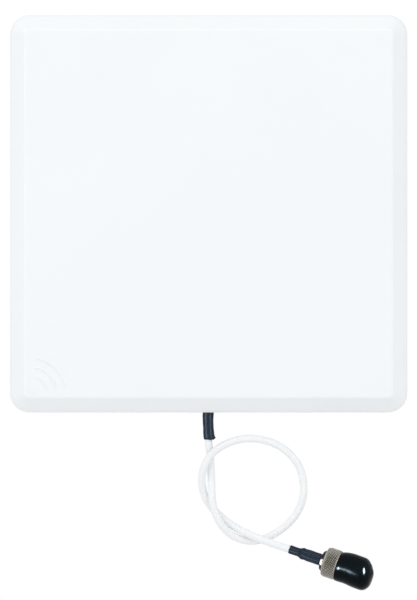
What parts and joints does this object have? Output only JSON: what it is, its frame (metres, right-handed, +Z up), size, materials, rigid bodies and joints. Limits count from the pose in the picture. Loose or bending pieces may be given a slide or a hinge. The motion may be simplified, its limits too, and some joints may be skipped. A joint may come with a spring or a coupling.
{
  "type": "flat panel antenna with pigtail",
  "caption": "Flat square white panel antenna on rear studs, with a looped white pigtail lead that ends in a knurled coaxial plug under a black cap.",
  "frame": {"origin": "centre of the four rear mounting studs, on the back plate's outer face", "axes": "+Y out of the back along the studs, so the front faces -Y; +Z up, with the lead leaving the lower side; +X to the right of someone who looks at the front"},
  "size_m": [0.26, 0.0558, 0.3751],
  "materials": {
    "white_abs": "satin moulded plastic",
    "grey_rubber": "matte foam rubber",
    "aluminium_plate": "brushed sheet",
    "zinc_screw": "bright zinc plate",
    "black_rubber": "matte",
    "zinc_stud": "bright zinc plate",
    "circuit_board": "solder mask",
    "copper_track": "tinned copper",
    "aluminium_patch": "satin sheet",
    "nylon": "natural nylon",
    "white_jacket": "soft white PVC",
    "solder": "bright solder",
    "shrink_sleeve": "matte heat-shrink with a blue cast",
    "nickel": "nickel plate",
    "ptfe": "white PTFE",
    "gold_plate": "gold plate",
    "silicone": "soft silicone",
    "black_vinyl": "glossy dipped vinyl"
  },
  "bodies": {
    "root": {"radome": "white_abs", "perimeter_seal": "grey_rubber", "back_plate": "aluminium_plate", "cover_screws": "zinc_screw", "screw_seals": "black_rubber", "mounting_studs": "zinc_stud", "board_standoffs": "zinc_stud", "feed_board": "circuit_board", "feed_copper": "copper_track", "board_screws": "zinc_screw", "patch_plate_1": "aluminium_patch", "patch_plate_2": "aluminium_patch", "patch_plate_3": "aluminium_patch", "patch_plate_4": "aluminium_patch", "patch_spacers": "nylon", "patch_screws": "zinc_screw", "patch_nuts": "zinc_screw", "clamp_base": "nylon", "clamp_cap": "nylon", "clamp_screws": "zinc_screw", "inner_lead": "white_jacket", "solder_joints": "solder", "exit_grommet": "black_rubber", "exit_sleeve": "shrink_sleeve", "pigtail_cable": "white_jacket", "plug_boot": "shrink_sleeve", "plug_lead_end": "white_jacket", "crimp_ferrule": "nickel", "plug_body": "nickel", "plug_insulator": "ptfe", "centre_contact": "gold_plate", "retaining_ring": "nickel", "plug_gasket": "silicone"},
    "nut": {"coupling_nut": "nickel"},
    "cap": {"protective_cap": "black_vinyl"}
  },
  "joints": [
    {"name": "nut_spin", "type": "hinge", "parent": "root", "child": "nut", "pos_m": [0.08085, -0.02134, -0.22837], "axis": [0.9316, -0.1912, -0.309], "continuous": true},
    {"name": "cap_pull", "type": "slide", "parent": "nut", "child": "cap", "axis": [0.9316, -0.1912, -0.309], "range_m": [0, 0.035]}
  ]
}
